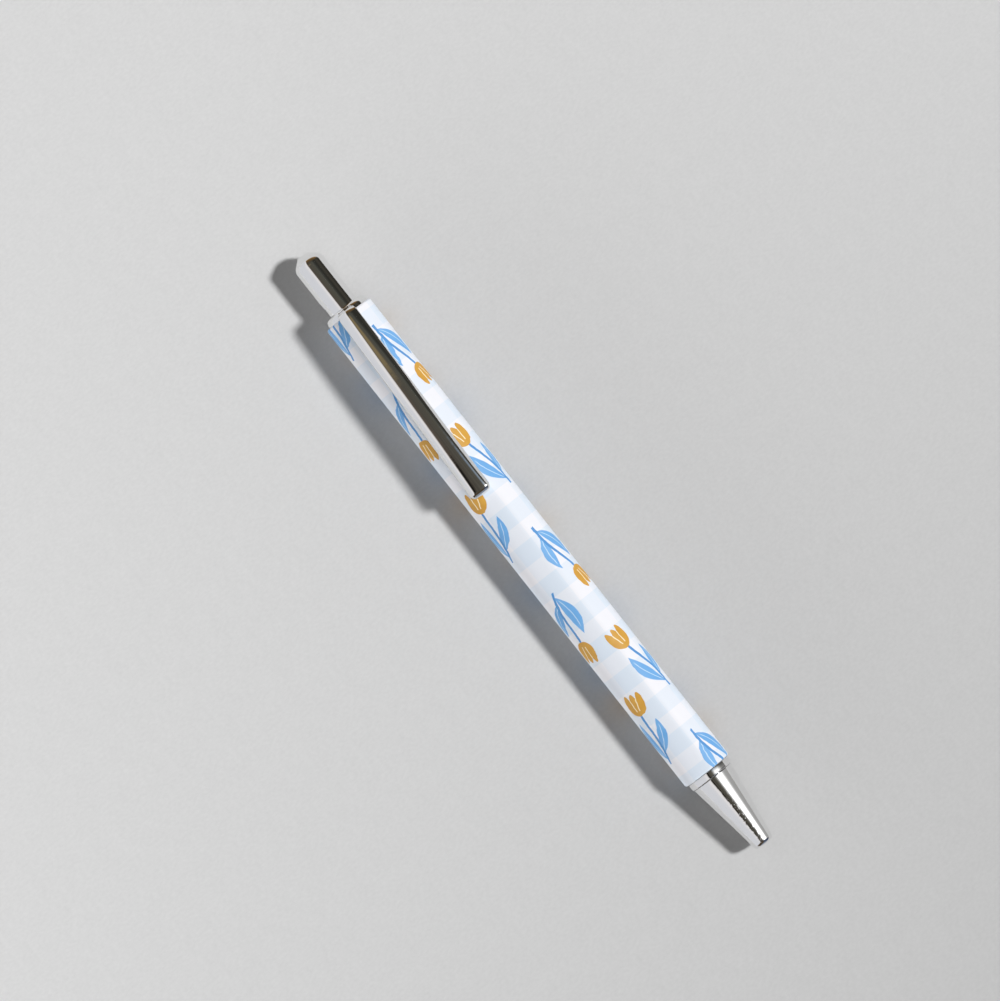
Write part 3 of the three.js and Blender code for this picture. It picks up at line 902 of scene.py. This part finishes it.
plug_back, plug_front, plug_radius = round_box("tip_holder")
plug_step = tube_front + 0.01 * MM
plug_taper = 2.0 * MM
plug_spigot = 1.09 * MM
plug_nose = 1.14 * MM
plug_socket = 0.84 * MM
plug_bore = 0.5 * MM
socket_back = plug_front - 3.1 * MM
tip_plug = turned("tip_plug", eased([
    (plug_back, plug_bore, 0.05 * MM),
    (plug_back, plug_spigot, 0.15 * MM),
    (plug_step, plug_spigot, 0),
    (plug_step, plug_radius, 0.08 * MM),
    (plug_front - plug_taper, plug_radius, 0.4 * MM),
    (plug_front, plug_nose, 0.06 * MM),
    (plug_front, plug_socket, 0),
    (socket_back, plug_socket, 0),
    (socket_back, plug_bore, 0),
]), sides=refill_sides)
fit(tip_plug, "refill", "tip_holder", white_plastic)


# The writing tip and its ball: nickel silver turned to a fine cone, with the rim spun in over a
# ground steel ball.
point_back, point_front, point_radius = round_box("writing_tip")
ball_back, ball_front, ball_radius = round_box("writing_ball")
ball_middle = (ball_back + ball_front) / 2
point_shank = 0.79 * MM
point_taper = 3.2 * MM
socket_radius = 0.39 * MM
ball_seat = ball_middle - socket_radius
ink_bore = 0.25 * MM
rim_radius = 0.43 * MM
rim_bore = 0.3 * MM
writing_point = turned("writing_point", eased([
    (point_back, ink_bore, 0),
    (point_back, point_shank, 0.1 * MM),
    (plug_front, point_shank, 0),
    (plug_front, point_radius, 0.06 * MM),
    (point_front - point_taper, point_radius, 0.3 * MM),
    (point_front, rim_radius, 0.05 * MM),
    (point_front, rim_bore, 0),
    (ball_middle + 0.11 * MM, socket_radius, 0.02 * MM),
    (ball_seat, socket_radius, 0.1 * MM),
    (ball_seat, ink_bore, 0),
]), sides=refill_sides)
nickel_silver = machined("nickel_silver", srgb(206, 196, 164), 0.22)
fit(writing_point, "refill", "writing_tip", nickel_silver)
ball_profile = bow(ball_middle, 0, -ball_radius, ball_radius, 0, 180, steps=24)
ball_profile[0] = (ball_middle - ball_radius, 0)
ball_profile[-1] = (ball_middle + ball_radius, 0)
ball = turned("point_ball", ball_profile, sides=refill_sides)
ball_steel = machined("ball_steel", srgb(196, 198, 202), 0.12, 0.0003)
fit(ball, "ball", "writing_ball", ball_steel)


# The return spring: bright steel wire wound round the refill, its end turns closed up. It shortens
# as the refill slides.
spring_back, spring_front, spring_radius = round_box("return_spring")
wire_radius = 0.2 * MM
spring_turns = 14
closed_turns = 1.25
turn_steps = 20
wire_sides = 8
closed_rise = closed_turns * wire_radius * 2.1
spring_start = spring_back + wire_radius
spring_rise = spring_front - spring_back - 2 * wire_radius


def spring_place(turn):
    """How far along the pen the wire has risen after that many turns."""
    open_pitch = (spring_rise - 2 * closed_rise) / (spring_turns - 2 * closed_turns)
    closed_pitch = closed_rise / closed_turns
    early = min(turn, closed_turns)
    late = max(turn - spring_turns + closed_turns, 0)
    return spring_start + (early + late) * closed_pitch + (turn - early - late) * open_pitch


wire_sections = []
for step in range(spring_turns * turn_steps + 1):
    turn = step / turn_steps
    angle = turn * math.tau
    section = []
    for side in range(wire_sides):
        around_wire = side / wire_sides * math.tau
        reach = spring_radius - wire_radius + wire_radius * math.cos(around_wire)
        x = spring_place(turn) + wire_radius * math.sin(around_wire)
        section.append((x, reach * math.sin(angle), axis_height + reach * math.cos(angle)))
    wire_sections.append(section)
spring = skinned("spring_wire", wire_sections)
spring_steel = machined("spring_steel", srgb(188, 190, 196), 0.2, 0.0005)
fit(spring, "front_ring", "return_spring", spring_steel)
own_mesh(spring)


# The lower ring: a loose chromed washer that the cone clamps on the barrel's front end. Its side is
# faintly crowned and a little narrower towards the cone.
ring_back, ring_front, ring_radius = round_box("lower_ring")
ring_bore = 3.4 * MM
ring_bore_ease = 0.08 * MM
ring_round = 0.1 * MM
ring_crown = 0.006 * MM
ring_taper = 0.04 * MM
ring_steps = 12
ring_front_radius = ring_radius - ring_taper
ring_middle = (ring_back + ring_front) / 2
ring_half = (ring_front - ring_back) / 2
ring_side = []
for step in range(1, ring_steps):
    share = step / ring_steps
    reach = ring_radius - ring_taper * share + 4 * ring_crown * share * (1 - share)
    ring_side.append((ring_middle + (2 * share - 1) * (ring_half - 2 * ring_round), reach))
ring_rear = eased([
    (ring_middle, ring_bore, 0),
    (ring_back, ring_bore, ring_bore_ease),
    (ring_back, ring_radius, ring_round),
    (ring_middle, ring_radius, 0),
], closed=False)
ring_fore = eased([
    (ring_middle, ring_front_radius, 0),
    (ring_front, ring_front_radius, ring_round),
    (ring_front, ring_bore, ring_bore_ease),
    (ring_middle, ring_bore, 0),
], closed=False)
ring = turned("ring", ring_rear[1:-1] + ring_side + ring_fore[1:-1])
fit(ring, "front_ring", "lower_ring", chrome_plate)


# The nose cone: turned brass, chromed, with a rounded mouth and a screwed shank. The spring bears
# on the step in its bore.
shank_back, cone_front, cone_radius = round_box("nose_cone")
cone_back = ring_front + 0.08 * MM
cone_length = cone_front - cone_back
shank_radius = 3.28 * MM
shank_front = cone_back - 1.4 * MM
relief_radius = 2.95 * MM
relief_ease = 0.1 * MM
cone_bore = 2.5 * MM
mouth_radius = 1.25 * MM
lip_radius = 1.53 * MM
cone_end = 2.0 * MM
taper = (cone_radius - cone_end) / cone_length
seat_x = spring_front + 0.11 * MM
seat_radius = 1.8 * MM
seat_taper = 1.5 * MM

# the mouth: an arc from the straight side to the lip, and a point just before it that keeps the
# shading of the side straight
mouth_round = 1.15 * MM
mouth_turn = 68
mouth_start = cone_front - mouth_round * (1 - math.cos(math.radians(mouth_turn)))
shoulder_radius = cone_end + taper * (cone_front - mouth_start)
mouth_rise = (shoulder_radius - lip_radius) / math.sin(math.radians(mouth_turn))
support = 0.15 * MM
cone = turned("cone", [
    *threaded_run(shank_back, shank_front, shank_radius),
    *eased([
        (shank_front, shank_radius, 0),
        (shank_front, relief_radius, relief_ease),
        (cone_back, relief_radius, relief_ease),
        (cone_back, cone_radius, 0.14 * MM),
        (mouth_start, shoulder_radius, 0),
    ], closed=False)[1:-1],
    (mouth_start - support, shoulder_radius + taper * support),
    *bow(cone_front - mouth_round, lip_radius, mouth_round, mouth_rise, mouth_turn, 0, steps=12),
    *eased([
        (cone_front, lip_radius, 0),
        (cone_front, mouth_radius, 0.12 * MM),
        (seat_x + seat_taper, mouth_radius, 0.2 * MM),
        (seat_x, seat_radius, 0),
        (seat_x, cone_bore, 0.1 * MM),
        (shank_back, cone_bore, 0),
    ], closed=False)[1:],
])
cut_thread(cone, shank_back, shank_front, shank_radius)

dent_depth = 0.018
dented_from = 5


def pitting(place):
    """Shallow dents in the plate of the cone's front part, along its top."""
    front = mask(coordinate(place, 0) - (cone_back / MM + dented_from), 8)
    top = mask(0.45 - abs(coordinate(place, 1) + 0.15), 0.3)
    return mask(noise(place, 1.6, 2.0) - 0.57, 0.12) * front * top * dent_depth


fit(cone, "cone", "nose_cone", chromed("cone_chrome", 0.05, pitting))
